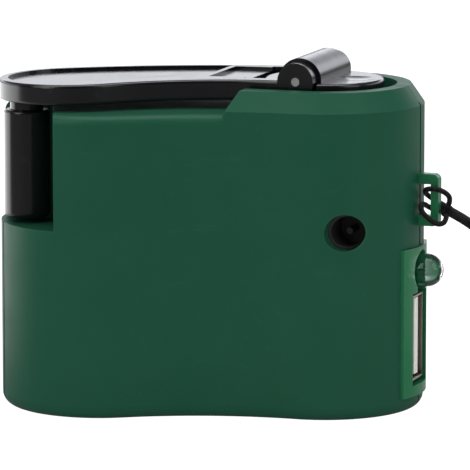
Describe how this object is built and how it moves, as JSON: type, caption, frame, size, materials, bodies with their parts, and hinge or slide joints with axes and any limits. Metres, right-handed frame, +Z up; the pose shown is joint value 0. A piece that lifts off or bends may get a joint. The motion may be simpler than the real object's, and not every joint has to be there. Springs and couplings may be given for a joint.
{
  "type": "hand crank phone charger",
  "caption": "Pocket hand crank charger: bean-shaped case, folding crank with a knob in a side pocket, upright USB socket, lamp and wrist cord loop.",
  "frame": {"origin": "centre of the flat base of the case", "axes": "+Z up, +X to the right towards the lamp and USB end, +Y to the back"},
  "size_m": [0.1015, 0.0327, 0.0535],
  "materials": {
    "case_green": "satin",
    "trim_green": "satin",
    "gloss_black": "gloss",
    "steel": "satin",
    "white_nylon": "satin",
    "black_plastic": "satin",
    "bronze": "satin",
    "core_steel": "satin",
    "copper": "gloss",
    "board_green": "satin",
    "capacitor_sleeve": "satin",
    "clear_epoxy": "gloss",
    "cord_black": "matt"
  },
  "bodies": {
    "case": {"front_shell": "case_green", "rear_shell": "case_green", "port_bezel_front": "trim_green", "port_bezel_rear": "trim_green", "lanyard_loop": "trim_green", "case_screws": "steel", "shaft_bush": "bronze", "gearbox_base_plate": "black_plastic", "gearbox_top_plate": "black_plastic", "gearbox_screws": "steel", "idler_axles": "steel", "generator_can": "steel", "generator_end_cap": "black_plastic", "generator_bearings": "bronze", "stator_core": "core_steel", "stator_windings": "copper", "circuit_board": "board_green", "rectifier_diodes": "black_plastic", "smoothing_capacitor": "capacitor_sleeve", "regulator_chip": "black_plastic", "choke": "black_plastic", "usb_socket_shell": "steel", "usb_tongue": "white_nylon", "usb_contacts": "bronze", "led_lamp": "clear_epoxy", "lamp_leads": "steel", "dc_socket": "black_plastic", "dc_socket_pin": "steel", "lanyard_strands": "cord_black", "lanyard_cord": "cord_black", "lanyard_coil": "cord_black", "lanyard_knots": "cord_black"},
    "crank": {"crank_hub": "gloss_black", "drive_shaft": "steel", "drive_gear": "white_nylon", "retaining_clip": "steel"},
    "arm": {"crank_arm": "gloss_black", "hinge_pin": "steel", "knob_screw": "steel"},
    "knob": {"crank_knob": "gloss_black"},
    "idler_1": {"idler_gear_1": "white_nylon"},
    "idler_2": {"idler_gear_2": "white_nylon"},
    "rotor": {"rotor_shaft": "steel", "rotor_magnet": "core_steel", "generator_pinion": "bronze"}
  },
  "joints": [
    {"name": "crank_spin", "type": "hinge", "parent": "case", "child": "crank", "pos_m": [0.0169, 0, 0.0458], "axis": [0, 0, 1], "range_deg": [0, 3]},
    {"name": "arm_fold", "type": "hinge", "parent": "crank", "child": "arm", "pos_m": [0.01537, 0.00045, 0.05025], "axis": [0.284, 0.9588, 0], "range_deg": [0, 180]},
    {"name": "knob_spin", "type": "hinge", "parent": "arm", "child": "knob", "pos_m": [-0.0278, -0.00325, 0.037], "axis": [0, 0, 1], "continuous": true},
    {"name": "idler_1_spin", "type": "hinge", "parent": "case", "child": "idler_1", "pos_m": [0.0058, 0.00337, 0.0389], "axis": [0, 0, 1], "range_deg": [-12.5, 1]},
    {"name": "idler_2_spin", "type": "hinge", "parent": "case", "child": "idler_2", "pos_m": [-0.0058, 0.00337, 0.0364], "axis": [0, 0, 1], "range_deg": [-1, 45.08]},
    {"name": "rotor_spin", "type": "hinge", "parent": "case", "child": "rotor", "pos_m": [-0.0169, 0, 0.018], "axis": [0, 0, 1], "range_deg": [-169.99, 1]}
  ],
  "couplings": [
    {"joint": "idler_1_spin", "follows": "crank_spin", "ratio": -3.8333},
    {"joint": "idler_2_spin", "follows": "crank_spin", "ratio": 14.694},
    {"joint": "rotor_spin", "follows": "crank_spin", "ratio": -56.329}
  ]
}
